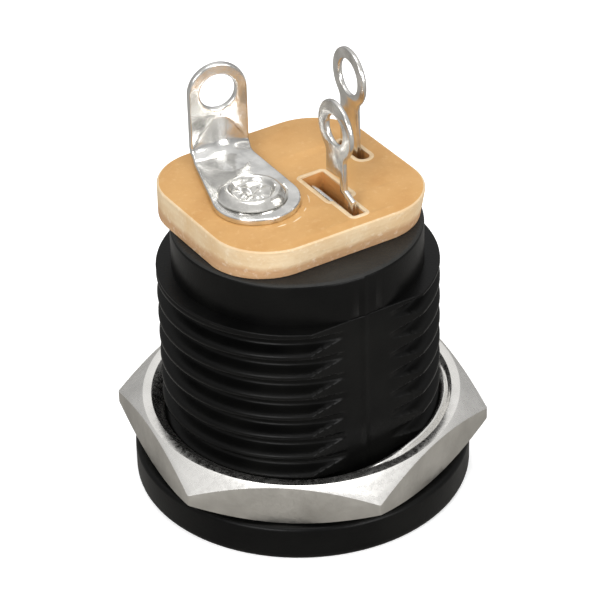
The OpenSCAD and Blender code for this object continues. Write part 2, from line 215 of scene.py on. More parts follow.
nylonBody = makeNylon("moulded black nylon", {
    "dark": "#070707", "light": "#0e0e0d", "roughness": 0.34, "sheen": 0.1, "grainMm": 0.12, "grainDepthMm": 0.005})
# grained nylon for the flange's front face and the collar's top: a real spark-eroded grain, plus a lighter colour
# that is painted light, standing in for light bounced onto the top from the board
nylonFaceGrainAndPaintedLight = makeNylon("moulded black nylon, spark-eroded grain", {
    "dark": "#1a1a19", "light": "#2b2b29", "roughness": 0.58, "sheen": 0.3, "grainMm": 0.16, "grainDepthMm": 0.03})
nutNickel = makeMetal("nickel-plated brass, turned face", {
    "dark": "#e0deda", "light": "#f1efeb", "roughness": 0.27, "waveMm": 2.5, "waveDepthMm": 0.008,
    "grainMm": 0.2, "grainDepthMm": 0.002})
nutSide = makeMetal("nickel-plated brass, drawn hexagon bar", {
    "dark": "#b2afa9", "light": "#c9c6c0", "roughness": 0.44, "waveMm": 1.6, "waveDepthMm": 0.006,
    "grainMm": 0.2, "grainDepthMm": 0.012})
# the bore's nickel is painted darker: painted shade inside the nut's thread
nutBoreShaded = makeMetal("nickel-plated brass, tapped thread, painted shade", {
    "dark": "#77746e", "light": "#979590", "roughness": 0.5, "waveMm": 1.2, "waveDepthMm": 0.004,
    "grainMm": 0.2, "grainDepthMm": 0.002})
pinNickel = makeMetal("nickel-plated brass, peened", {
    "dark": "#cac8c3", "light": "#eceae5", "roughness": 0.16, "waveMm": 0.7, "waveDepthMm": 0.03,
    "grainMm": 0.1, "grainDepthMm": 0.002})
lugTin = makeMetal("tin-plated brass sheet", {
    "dark": "#c4c3c0", "light": "#ebeae7", "roughness": 0.17, "waveMm": 0.9, "waveDepthMm": 0.022,
    "grainMm": 0.1, "grainDepthMm": 0.002})
contactTin = makeMetal("tin-plated phosphor bronze sheet", {
    "dark": "#bdbbb7", "light": "#e6e4e0", "roughness": 0.18, "waveMm": 0.7, "waveDepthMm": 0.016,
    "grainMm": 0.1, "grainDepthMm": 0.002})


def makeLaminate(name, look):
    # phenolic paper laminate: resin-dark paper with short cloudy fibres, glossy where pressed, dry where punched
    material, tree, shader, place = newMaterial(name)
    cloudy = noise(tree, place, 1.8, 4, 0.6).outputs["Fac"]
    specks = noise(tree, place, 0.22, 3, 0.6).outputs["Fac"]
    stretched = addNode(tree, "ShaderNodeMapping", {"Vector": place, "Scale": look["layers"]}).outputs["Vector"]
    layers = addNode(tree, "ShaderNodeTexNoise", {
        "Vector": stretched, "Scale": 1000 / look["layerMm"], "Detail": 3.0}).outputs["Fac"]
    base = mixColours(tree, spread(tree, cloudy, 0, 1, 0.35, 0.65), toLinear(look["dark"]), toLinear(look["light"]))
    if "darkBand" in look:
        # the edge turns darker towards its bottom, below a wavering line
        height = addNode(tree, "ShaderNodeSeparateXYZ", {"Vector": place}).outputs["Z"]
        wavering = addNode(tree, "ShaderNodeMath", {0: cloudy, 1: look["darkBandWaverMm"] * 0.001, 2: height},
                           operation="MULTIPLY_ADD").outputs[0]
        darkBandTop = look["darkBandTop"] * 0.001
        below = spread(tree, wavering, 1, 0, darkBandTop, darkBandTop + look["darkBandFadeMm"] * 0.001)
        base = mixColours(tree, below, base, toLinear(look["darkBand"]))
    layered = mixColours(tree, spread(tree, layers, 0, look["layerShare"]), base, toLinear(look["layer"]))
    speckShare = spread(tree, specks, 0, look["speckShare"], 0.55, 0.75)
    speckled = mixColours(tree, speckShare, layered, toLinear(look["speck"]))
    tree.links.new(speckled, shader.inputs["Base Color"])
    roughness = spread(tree, specks, look["roughness"] - 0.05, look["roughness"] + 0.08)
    tree.links.new(roughness, shader.inputs["Roughness"])
    shader.inputs["IOR"].default_value = 1.55
    first = bumps(tree, layers, look["layerDepthMm"])
    tree.links.new(bumps(tree, specks, look["grainDepthMm"], before=first), shader.inputs["Normal"])
    return material


boardTop = makeLaminate("phenolic paper laminate, pressed face", {
    "dark": "#cf9a58", "light": "#dcab6b", "layer": "#d6a462", "speck": "#e8c592",
    "layers": (1, 1, 1), "layerMm": 0.9, "layerShare": 0.5, "speckShare": 0.35,
    "roughness": 0.5, "layerDepthMm": 0.004, "grainDepthMm": 0.006})
boardEdge = makeLaminate("phenolic paper laminate, punched edge", {
    "dark": "#e3c498", "light": "#eed8b4", "layer": "#dcb98c", "speck": "#f7e8d0",
    "darkBand": "#c99c72", "darkBandTop": 13.25, "darkBandWaverMm": 0.6, "darkBandFadeMm": 0.25,
    "layers": (0.25, 0.25, 2.2), "layerMm": 0.5, "layerShare": 0.45, "speckShare": 0.5,
    "roughness": 0.72, "layerDepthMm": 0.03, "grainDepthMm": 0.03})
# punched laminate painted a darker brown for the walls of the slots and of the rivet hole: painted shade inside the
# narrow holes
boardSlotShaded = makeLaminate("phenolic paper laminate, slot wall, painted shade", {
    "dark": "#c98c4a", "light": "#d89d5a", "layer": "#b87b3d", "speck": "#e0b27a",
    "layers": (0.3, 0.3, 2), "layerMm": 0.4, "layerShare": 0.5, "speckShare": 0.3,
    "roughness": 0.75, "layerDepthMm": 0.02, "grainDepthMm": 0.02})
print("materials made")


# ---------------------------------------------------------------- housing

housing = {
    "flangeR": 7.29, "flangeT": 1.7, "frontEdge": 0.42, "rearEdge": 0.2,
    "crestR": 5.99, "rootR": 5.43, "pitch": 1.0, "firstCrest": 2.76, "crestHalf": 0.06, "footHalf": 0.37,
    "threadTop": 10.54, "rimT": 0.13, "rimEdge": 0.05, "flatHalf": 5.32, "edgeSoft": 0.012,
    "collarR": 5.33, "top": 12.5, "collarEdge": 0.2,
    "partingHeight": 0.035, "partingHalf": 0.12, "partingTurn": -1.6,
    "socketX": -2.1, "socketR": 3.1, "socketEnd": 11.3, "mouthEdge": 0.15, "endEdge": 0.3, "shankR": 0.78,
    # chambers of the spring and of the switch contact, each from a low to a high corner
    "springRoom": ((-0.55, -3.0, 1.5), (2.075, 0.3, 11.3)),
    "springSlot": ((0.805, -3.1, 11.0), (2.075, 0.3, 13.5)),
    "switchRoom": ((0.475, 0.1, 5.2), (3.795, 2.22, 13.5)),
    "rowsPerTurn": 16,
}


def ridgeHeight(offset, crestHalf, footHalf):
    # 1 on a crest, 0 in a root, with both rounded as a mould leaves them
    t = min(1.0, max(0.0, (footHalf - abs(offset)) / (footHalf - crestHalf)))
    return 0.35 * t + 0.65 * t * t * (3 - 2 * t)


def bodyRadius(angle, z, h):
    # outside of the threaded barrel: a right-hand helix cut by the two flats
    phase = (z - h["firstCrest"]) / h["pitch"] - angle / (2 * math.pi)
    offset = (phase - round(phase)) * h["pitch"]
    radius = h["rootR"] + (h["crestR"] - h["rootR"]) * ridgeHeight(offset, h["crestHalf"], h["footHalf"])
    return cutByFlats(radius, angle, h)


def cutByFlats(radius, angle, h):
    across = abs(math.sin(angle))
    return softMin(radius, h["flatHalf"] / across, h["edgeSoft"]) if across > 0.5 else radius


def partingRise(angle, h, radius):
    # the thin line where the mould's halves meet, a little off the middle of each flat
    away = math.radians(abs((math.degrees(angle) - h["partingTurn"]) % 180 - 90)) * radius
    return h["partingHeight"] * math.exp(-(away / h["partingHalf"]) ** 2)


def helicalWall(verts, faces, angles, zLow, zHigh, pitch, rowsPerTurn, radiusAt):
    # a wall of quads whose rows climb with the thread, trimmed level at both ends; gives its two end rings
    count = len(angles)
    rows = int(math.ceil((zHigh - zLow) / pitch * rowsPerTurn)) + 2 * rowsPerTurn
    index = {}
    low, high = [], []
    for ring, z in ((low, zLow), (high, zHigh)):
        for a in angles:
            r = radiusAt(a, z)
            ring.append(len(verts))
            verts.append((r * math.cos(a), r * math.sin(a), z))

    def vertexAt(i, row):
        if i == count:
            i, row = 0, row + rowsPerTurn
        z = zLow - pitch + row * pitch / rowsPerTurn + pitch * angles[i] / (2 * math.pi)
        if z <= zLow + 0.004:
            return low[i]
        if z >= zHigh - 0.004:
            return high[i]
        if (i, row) not in index:
            r = radiusAt(angles[i], z)
            index[(i, row)] = len(verts)
            verts.append((r * math.cos(angles[i]), r * math.sin(angles[i]), z))
        return index[(i, row)]

    for i in range(count):
        for row in range(rows):
            corners = [vertexAt(i, row), vertexAt(i + 1, row), vertexAt(i + 1, row + 1), vertexAt(i, row + 1)]
            unique = [c for k, c in enumerate(corners) if c != corners[k - 1]]
            if len(set(unique)) >= 3:
                faces.append(unique)
    return low, high


def addRing(verts, angles, radiusAt, zAt):
    ring = []
    for a in angles:
        r = radiusAt(a) if callable(radiusAt) else radiusAt
        z = zAt(a) if callable(zAt) else zAt
        ring.append(len(verts))
        verts.append((r * math.cos(a), r * math.sin(a), z))
    return ring


def bridge(faces, lower, upper):
    count = len(lower)
    for i in range(count):
        j = (i + 1) % count
        faces.append([lower[i], lower[j], upper[j], upper[i]])


def bodyAngles():
    # closer steps where the thread runs out into the two flats, and at the parting line
    steps = []
    for middle in (0, 90, 180, 270):
        if middle % 180 == 90:
            steps += [middle - 6 + 0.3 * i for i in range(-4, 5)]
            steps += [middle + a for a in range(-4, 8)] + [middle - 7.6]
            steps += [middle + way * (8.2 + 0.3 * i) for i in range(71) for way in (-1, 1)]
        else:
            steps += [middle + 1.55 * i for i in range(-39, 40)]
    return [math.radians(a) for a in sorted(set(round(a % 360, 4) for a in steps))]


def lathePiece(name, profile, centre=(0, 0), segments=96, material=None):
    # a closed turned solid from (radius, height) points, the first and last on the axis
    verts, faces, rings = [], [], []
    angles = [2 * math.pi * i / segments for i in range(segments)]
    for r, z in profile:
        if r < 1e-6:
            rings.append([len(verts)])
            verts.append((centre[0], centre[1], z))
        else:
            rings.append([len(verts) + i for i in range(segments)])
            verts.extend((centre[0] + r * math.cos(a), centre[1] + r * math.sin(a), z) for a in angles)
    for lower, upper in zip(rings, rings[1:]):
        if len(lower) == 1:
            faces.extend([lower[0], upper[(i + 1) % segments], upper[i]] for i in range(segments))
        elif len(upper) == 1:
            faces.extend([lower[i], lower[(i + 1) % segments], upper[0]] for i in range(segments))
        else:
            bridge(faces, lower, upper)
    return newPiece(name, verts, faces, [material] if material else [])


def boxPiece(name, low, high):
    corners = [(x, y, z) for x in (low[0], high[0]) for y in (low[1], high[1]) for z in (low[2], high[2])]
    faces = [(0, 1, 3, 2), (4, 6, 7, 5), (0, 4, 5, 1), (2, 3, 7, 6), (0, 2, 6, 4), (1, 5, 7, 3)]
    return newPiece(name, corners, faces, [])


def makeHousing(h):
    verts, faces, slots = [], [], []
    angles = bodyAngles()

    def wallRadius(a, z):
        return bodyRadius(a, z, h) + partingRise(a, h, h["flatHalf"])

    # front face and flange rim
    front, rear = h["frontEdge"], h["rearEdge"]
    rim = [(h["flangeR"] - front, 0.0)]
    rim += arcPoints((h["flangeR"] - front, front), front, -90, 0, 8)[1:]
    rim += arcPoints((h["flangeR"] - rear, h["flangeT"] - rear), rear, 0, 90, 6)
    rings = [addRing(verts, angles, r, z) for r, z in rim]
    faces.append(list(reversed(rings[0])))
    slots.append(1)
    for n, (lower, upper) in enumerate(zip(rings, rings[1:])):
        bridge(faces, lower, upper)
        slots += [1 if n < 5 else 0] * len(angles)
    rimLow = h["threadTop"] - h["rimT"]
    low, before = helicalWall(verts, faces, angles, h["flangeT"], rimLow, h["pitch"], h["rowsPerTurn"], wallRadius)
    bridge(faces, rings[-1], low)

    # the thread ends under a thin level rim, and the smooth collar stands on it
    def rimRadius(a):
        return cutByFlats(h["crestR"], a, h) + partingRise(a, h, h["flatHalf"])

    def collarRadius(a):
        return h["collarR"] + partingRise(a, h, h["collarR"])

    def rounded(radiusAt, edge, top):
        return [(lambda a, t=t: radiusAt(a) - edge + edge * cosD(t), top - edge + edge * sinD(t))
                for t in (0, 18, 36, 54, 72, 90)]

    wall = [(rimRadius, rimLow + 0.02)] + rounded(rimRadius, h["rimEdge"], h["threadTop"])
    wall += [(lambda a: min(collarRadius(a), rimRadius(a) - h["rimEdge"]), h["threadTop"] + 0.01),
             (collarRadius, h["threadTop"] + 0.04)]
    wall += rounded(collarRadius, h["collarEdge"], h["top"])
    for radiusAt, z in wall:
        ring = addRing(verts, angles, radiusAt, z)
        bridge(faces, before, ring)
        before = ring
    # the collar's rounded top edge and its top face take the lighter nylon, whose colour is painted bounce light from
    # the board
    slots += [0] * (len(faces) - len(slots) - 3 * len(angles))
    faces.append(before)
    slots += [1] * (len(faces) - len(slots))
    piece = newPiece("housingShell", verts, faces, [nylonBody, nylonFaceGrainAndPaintedLight], slots, 55)

    # socket, with a small round at its mouth, and the hole for the pin's shank
    m, e = h["mouthEdge"], h["endEdge"]
    mouth = [(0, -1), (h["socketR"] + m, -1), (h["socketR"] + m, 0)]
    mouth += [(h["socketR"] + m - m * sinD(t), m - m * cosD(t)) for t in (15, 30, 45, 60, 75, 90)]
    mouth += [(h["socketR"], h["socketEnd"] - e)]
    mouth += [(h["socketR"] - e + e * cosD(t), h["socketEnd"] - e + e * sinD(t)) for t in (30, 60, 90)]
    mouth += [(h["shankR"], h["socketEnd"]), (h["shankR"], h["top"] + 1), (0, h["top"] + 1)]
    cutWith(piece, lathePiece("socketCutter", mouth, (h["socketX"], 0), 128), 55)
    for room in ("springRoom", "springSlot", "switchRoom"):
        cutWith(piece, boxPiece(room, *h[room]), 55)
    return piece


housingPiece = makeHousing(housing)
print("housing made", len(housingPiece.data.polygons))


# ---------------------------------------------------------------- hex nut

nut = {
    "halfFlats": 6.99, "low": 1.7, "thick": 2.0, "faceR": 6.87, "chamferSlope": 0.625, "cornerR": 0.14,
    "turn": 21.5, "sinkR": 6.5, "sinkSlope": 0.8, "gap": 0.14, "edge": 0.05, "steps": 264,
    "tip": 2.2, "tipTowards": 237.6, "nudge": 0.045, "burrAt": 300, "burrSpan": 34,
    "burr": ((6.05, -0.2), (6.05, -0.03), (6.1, 0.03), (6.17, 0.045), (6.24, 0.01),
             (6.29, -0.1), (6.34, -0.15), (6.4, -0.12), (6.5, 0.0)),
}


def makeNut(n, h):
    verts, faces, slots = [], [], []
    degrees = [n["turn"] + 360 * i / n["steps"] for i in range(n["steps"])]
    # closer steps round each rounded corner
    degrees += [n["turn"] + 60 * i + 0.13 * k for i in range(6) for k in range(-5, 6) if k]
    # the helix starts at the lowest angle, so the list is turned to begin near zero
    angles = sorted(math.radians(a % 360) for a in degrees)
    high = n["low"] + n["thick"]

    def hexRadius(a):
        away = abs((math.degrees(a) - n["turn"]) % 60 - 30)
        radius = n["halfFlats"] / cosD(away)
        # distance along the face from the corner's own axis, to where the rounding takes over
        middle = (n["halfFlats"] - n["cornerR"]) / cosD(30)
        side = middle * sinD(30 - away)
        if away > 29 and side < n["cornerR"] / 2:
            reach = middle * cosD(30 - away) + math.sqrt(max(0, n["cornerR"] ** 2 - side ** 2))
            radius = min(radius, reach)
        return radius

    def boreRadius(a, z):
        phase = (z - h["firstCrest"]) / h["pitch"] - a / (2 * math.pi)
        offset = (phase - round(phase)) * h["pitch"]
        ridge = ridgeHeight(offset, h["crestHalf"], h["footHalf"])
        thread = h["rootR"] + n["gap"] + (h["crestR"] - h["rootR"]) * ridge
        depth = min(z - n["low"], high - z)
        return max(thread, n["sinkR"] - depth / n["sinkSlope"])

    def mouthHeight(a, r, raised):
        # a plain countersink, but on one side the tap left the first turn standing in it as a bright ring
        away = (math.degrees(a) - n["burrAt"] + 180) % 360 - 180
        share = math.exp(-abs(away / n["burrSpan"]) ** 3)
        ragged = 0.015 * share * math.sin(9 * a + 1) * math.sin(23 * a)
        return high + share * raised + (1 - share) * (r - n["sinkR"]) * n["sinkSlope"] + ragged

    mouth = high - (n["sinkR"] - n["burr"][0][0]) * n["sinkSlope"] - 0.02
    low, top = helicalWall(verts, faces, angles, n["low"], mouth, h["pitch"], 10, boreRadius)
    # the bore's wall takes the darker nickel, with its painted shade
    slots += [2] * len(faces)
    for r, raised in n["burr"]:
        ring = addRing(verts, angles, r, lambda a: mouthHeight(a, r, raised))
        bridge(faces, top, ring)
        slots += [0] * len(angles)
        top = ring
    for inner, z, way in ((top, high, -1), (low, n["low"], 1)):
        flat = addRing(verts, angles, n["faceR"], z)
        bridge(faces, inner, flat)
        slots += [0] * len(angles)
        last = flat
        for share in (0.33, 0.66, 1.0):
            ring = addRing(verts, angles, lambda a: n["faceR"] + (hexRadius(a) - n["faceR"]) * share,
                           lambda a: z + way * (hexRadius(a) - n["faceR"]) * share * n["chamferSlope"])
            bridge(faces, last, ring)
            slots += [0] * len(angles)
            last = ring
        if way == -1:
            upper = last
        else:
            bridge(faces, last, upper)
            slots += [1] * len(angles)
    # the nut is loose on its thread: it touches the flange on one side and stands off a little on the other
    towards = Vector((cosD(n["tipTowards"]), sinD(n["tipTowards"]), 0))
    foot = towards * n["halfFlats"] + Vector((0, 0, n["low"]))
    tipped = Matrix.Rotation(math.radians(n["tip"]), 3, Vector((0, 0, 1)).cross(towards))
    verts = [tuple(foot - towards * n["nudge"] + tipped @ (Vector(v) - foot)) for v in verts]
    piece = newPiece("nutShell", verts, faces, [nutNickel, nutSide, nutBoreShaded], slots, 18)
    soft = piece.modifiers.new("soft edges", "BEVEL")
    soft.width = n["edge"] * 0.001
    soft.segments = 2
    soft.limit_method = "ANGLE"
    soft.angle_limit = math.radians(18)
    soft.harden_normals = False
    applyModifiers(piece)
    for polygon in piece.data.polygons:
        polygon.use_smooth = True
    piece.data.set_sharp_from_angle(angle=math.radians(25))
    return piece


nutPiece = makeNut(nut, housing)
print("nut made", len(nutPiece.data.polygons))


# ---------------------------------------------------------------- rear board

board = {
    "halfW": 4.92, "halfL": 4.54, "cornerR": 2.6, "shift": 0.4, "low": 12.5, "thick": 1.5, "edge": 0.09, "lean": 0.4,
    "slotX": (0.5, 0.65, 1.25, 1.6), "slotY": (-3.38, -1.85, 0.45), "switchSlot": (3.65, 1.17, 0.62, 1.9, 0.3),
    "slotCorner": 0.1, "rivetX": -2.1, "rivetR": 0.78, "lipHeight": 0.05,
    "lip": ((0.0, -2.0), (0.0, 0.4), (0.03, 0.85), (0.08, 1.0), (0.13, 0.7), (0.17, 0.2), (0.2, -0.2)),
    "liftedY": -0.2, "lifted": ((-97, -84, 2.12), (-78, -62, 2.2), (-52, -43, 2.14), (-34, -16, 2.24)),
}


def roundRect(centre, halfW, halfL, r, steps=6):
    points = []
    for sx, sy, start in ((1, 1, 0), (-1, 1, 90), (-1, -1, 180), (1, -1, 270)):
        points += arcPoints((centre[0] + sx * (halfW - r), centre[1] + sy * (halfL - r)), r, start, start + 90, steps)
    return points


def offsetOutline(points, distance):
    # moves each side of a closed counter-clockwise outline outwards
    moved = []
    for i, p in enumerate(points):
        a = Vector(points[i - 1])
        b = Vector(points[(i + 1) % len(points)])
        here = Vector(p)
        u = (here - a).normalized()
        v = (b - here).normalized()
        m = u + v
        m = m.normalized() if m.length > 1e-6 else u
        out = Vector((m.y, -m.x))
        scale = 1 / max(0.4, m.dot(u))
        moved.append(tuple(here + out * distance * scale))
    return moved


def plateFromOutline(outline, holes, thick, edge, edgeSteps=3):
    # a flat plate about z = 0 with rounded edges; holes are counter-clockwise outlines too
    verts, faces, kinds = [], [], []
    rounds = [(edge - edge * sinD(t), edge - edge * cosD(t))
              for t in [90 * k / edgeSteps for k in range(edgeSteps + 1)]]
    levels = [(-inset, -thick / 2 + rise) for inset, rise in rounds]
    levels += [(-inset, thick / 2 - rise) for inset, rise in reversed(rounds)]
    capLow, capHigh = [], []
    for n, loop in enumerate([outline] + holes):
        sign = 1 if n == 0 else -1
        rings = []
        for grow, z in levels:
            ring = offsetOutline(loop, sign * grow)
            rings.append(list(range(len(verts), len(verts) + len(ring))))
            verts += [(x, y, z) for x, y in ring]
        for a, b in zip(rings, rings[1:]):
            bridge(faces, a, b)
            kinds += [n] * len(a)
        capLow.append(rings[0])
        capHigh.append(rings[-1])
    for caps in (capLow, capHigh):
        loops = [[Vector(verts[i]) for i in loop] for loop in caps]
        flat = [i for loop in caps for i in loop]
        for tri in tessellate_polygon(loops):
            faces.append([flat[i] for i in tri])
            kinds.append(-1)
    return verts, faces, kinds


def makeBoard(b):
    outline = roundRect((0, b["shift"]), b["halfW"], b["halfL"], b["cornerR"], 20)
    x0, x1, x2, x3 = b["slotX"]
    y0, y1, y2 = b["slotY"]
    c = b["slotCorner"]
    wide = [((x3 - c, y2 - c), 0), ((x0 + c, y2 - c), 90), ((x0 + c, y1 + c), 180), None,
            ((x1 + c, y0 + c), 180), ((x2 - c, y0 + c), 270), None, ((x3 - c, y1 + c), 270)]
    sleeveSlot = []
    for n, corner in enumerate(wide):
        if corner:
            sleeveSlot += arcPoints(corner[0], c, corner[1], corner[1] + 90, 5)
        else:
            sleeveSlot.append((x1 if n == 3 else x2, y1))
    s = b["switchSlot"]
    slots = [sleeveSlot, roundRect((s[0], s[1]), s[2] / 2, s[3] / 2, s[4])]
    rivet = arcPoints((b["rivetX"], 0), b["rivetR"], 0, 360, 32)[:-1]
    verts, faces, kinds = plateFromOutline(outline, slots + [rivet], b["thick"], b["edge"], 4)
    middle = b["low"] + b["thick"] / 2
    # the side at -Y is broken off, not punched, and leans in towards the housing
    verts = [(x, y + b["lean"] * (0.5 - z / b["thick"]) * smoothStep(0, 3, b["shift"] - y), z + middle)
             for x, y, z in verts]
    # outer edges take the pale punched laminate, hole walls the darker one with its painted shade
    faceSlots = [0 if k == -1 else (1 if k == 0 else 2) for k in kinds]
    plate = newPiece("boardPlate", verts, faces, [boardTop, boardEdge, boardSlotShaded], faceSlots)
    # the punch leaves a pale raised lip round each slot
    top = b["low"] + b["thick"]
    lips = []
    for n, slot in enumerate(slots):
        verts, faces = [], []
        rings = []
        for grow, rise in b["lip"]:
            ring = offsetOutline(slot, grow)
            rings.append(list(range(len(verts), len(verts) + len(ring))))
            verts += [(x, y, top + rise * b["lipHeight"] * (0.6 + 0.4 * math.sin(3.1 * x + 2.3 * y + 4 * n)))
                      for x, y in ring]
        for lower, upper in zip(rings, rings[1:]):
            bridge(faces, lower, upper)
        lips.append(newPiece(f"slotLip{n}", verts, faces, [boardEdge]))
    # fibres lifted off the face round the lug's end, where it was pressed down
    for start, end, away in b["lifted"]:
        ridge = []
        for k in range(7):
            a = start + (end - start) * k / 6
            for w, rise in ((-0.05, -0.02), (-0.02, 0.03 * math.sin(math.pi * k / 6)), (0.05, -0.02)):
                ridge.append((b["rivetX"] + (away + w) * cosD(a), b["liftedY"] + (away + w) * sinD(a), top + rise))
        strips = [(3 * k + m, 3 * k + m + 1, 3 * k + m + 4, 3 * k + m + 3) for k in range(6) for m in range(2)]
        lips.append(newPiece("liftedFibre", ridge, strips, [boardEdge]))
    return joinPieces("boardPiece", [plate] + lips)


boardPiece = makeBoard(board)
print("board made", len(boardPiece.data.polygons))


# ---------------------------------------------------------------- centre pin with its peened head

pin = {
    "x": -2.1, "r": 1.05, "tip": 2.1, "dome": 0.6, "shoulderR": 1.6, "shoulderLow": 10.4, "end": 11.3,
    "shankR": 0.74, "seat": 14.3, "headR": 1.48, "headH": 0.35, "dishR": 1.0, "dishDepth": 0.25,
    "shoulderEdge": 0.06, "ringR": 0.36, "ringW": 0.2, "ringH": 0.1, "starDepth": 0.12, "starTurn": 24, "starW": 0.09,
}


def makePin(p):
    profile = [(0, p["tip"])]
    profile += [(p["r"] * sinD(t), p["tip"] + p["dome"] * (1 - cosD(t))) for t in range(10, 91, 10)]
    c = p["shoulderEdge"]
    profile += [(p["r"], p["shoulderLow"]), (p["shoulderR"] - c, p["shoulderLow"])]
    profile += [(p["shoulderR"], p["shoulderLow"] + c), (p["shoulderR"], p["end"])]
    profile += [(p["shankR"], p["end"]), (p["shankR"], p["seat"] + 0.001)]
    profile += [(p["headR"] - 0.1, p["seat"] + 0.001), (p["headR"], p["seat"] + 0.09)]
    segments = 120
    angles = [2 * math.pi * i / segments for i in range(segments)]
    verts, faces, rings = [], [], []
    rings.append([0])
    verts.append((p["x"], 0, profile[0][1]))
    for r, z in profile[1:]:
        rings.append([len(verts) + i for i in range(segments)])
        verts.extend((p["x"] + r * math.cos(a), r * math.sin(a), z) for a in angles)

    def headHeight(x, y):
        # a hammered ring round a dish, with the star punch's dents across the dish
        r = math.hypot(x, y)
        a = math.atan2(y, x)
        wobble = 0.02 * math.sin(3 * a + 0.6) + 0.015 * math.sin(5 * a + 2.1)
        z = p["headH"] * (1 - smoothStep(p["headR"] - 0.42, p["headR"] + 0.06, r) ** 1.2)
        z -= p["dishDepth"] * (1 - smoothStep(p["dishR"] - 0.22 + wobble, p["dishR"] + 0.02 + wobble, r))
        z += p["ringH"] * math.exp(-((r - p["ringR"]) / p["ringW"]) ** 2) * (0.6 + 0.4 * math.sin(4 * a + 1.0))
        turned = a - math.radians(p["starTurn"])
        arm = abs(math.sin(2 * turned)) * r / 2
        z -= p["starDepth"] * math.exp(-(arm / p["starW"]) ** 2) * (1 - smoothStep(0.5, 0.85, r))
        return z + 0.01 * math.sin(7 * x + 2) * math.cos(6 * y)

    radii = [1.47, 1.45, 1.42, 1.38, 1.33, 1.28] + [1.24 - 0.04 * i for i in range(30)]
    for r in radii:
        rings.append([len(verts) + i for i in range(segments)])
        for a in angles:
            x, y = r * math.cos(a), r * math.sin(a)
            verts.append((p["x"] + x, y, p["seat"] + headHeight(x, y)))
    rings.append([len(verts)])
    verts.append((p["x"], 0, p["seat"] + headHeight(0, 0)))
    for lower, upper in zip(rings, rings[1:]):
        if len(lower) == 1:
            faces.extend([lower[0], upper[(i + 1) % segments], upper[i]] for i in range(segments))
        elif len(upper) == 1:
            faces.extend([lower[i], lower[(i + 1) % segments], upper[0]] for i in range(segments))
        else:
            bridge(faces, lower, upper)
    return newPiece("pinPiece", verts, faces, [pinNickel])


pinPiece = makePin(pin)
print("pin made")


# ---------------------------------------------------------------- the three stampings

def sheetBlank(outline, holes, thick, edge):
    verts, faces, kinds = plateFromOutline(outline, holes, thick, edge)
    work = bmesh.new()
    made = [work.verts.new(v) for v in verts]
    for face in faces:
        try:
            work.faces.new([made[i] for i in face])
        except ValueError:
            pass
    bmesh.ops.remove_doubles(work, verts=work.verts, dist=1e-5)
    return work


def scoreLines(work, positions, axis):
    # cuts across the flat blank, so that it can bend there
    for place in positions:
        point = [0.0, 0.0, 0.0]
        normal = [0.0, 0.0, 0.0]
        point[axis] = place
        normal[axis] = 1.0
        everything = work.verts[:] + work.edges[:] + work.faces[:]
        bmesh.ops.bisect_plane(work, geom=everything, dist=1e-5, plane_co=point, plane_no=normal)


def finishSheet(name, work, place, material, sharpAngle=40):
    for vert in work.verts:
        vert.co = Vector(place(vert.co.x, vert.co.y, vert.co.z)) * 0.001
    mesh = bpy.data.meshes.new(name)
    work.to_mesh(mesh)
    work.free()
    mesh.materials.append(material)
    piece = bpy.data.objects.new(name, mesh)
    bpy.context.scene.collection.objects.link(piece)
    tidyMesh(piece, sharpAngle)
    return piece


pinLug = {
    "x": -2.1, "thick": 0.3, "edge": 0.07, "endR": 1.84, "endShift": (0.1, -0.18), "w": 2.6, "reach": 4.1,
    "turn": 11, "bendR": 0.45, "holeR": 0.8, "holeZ": 17.2, "low": 14.0, "shankR": 0.78,
    "ribHalf": 1.2, "ribLeg": 1.3, "ribRise": 0.36, "ribSoft": 0.6,
}


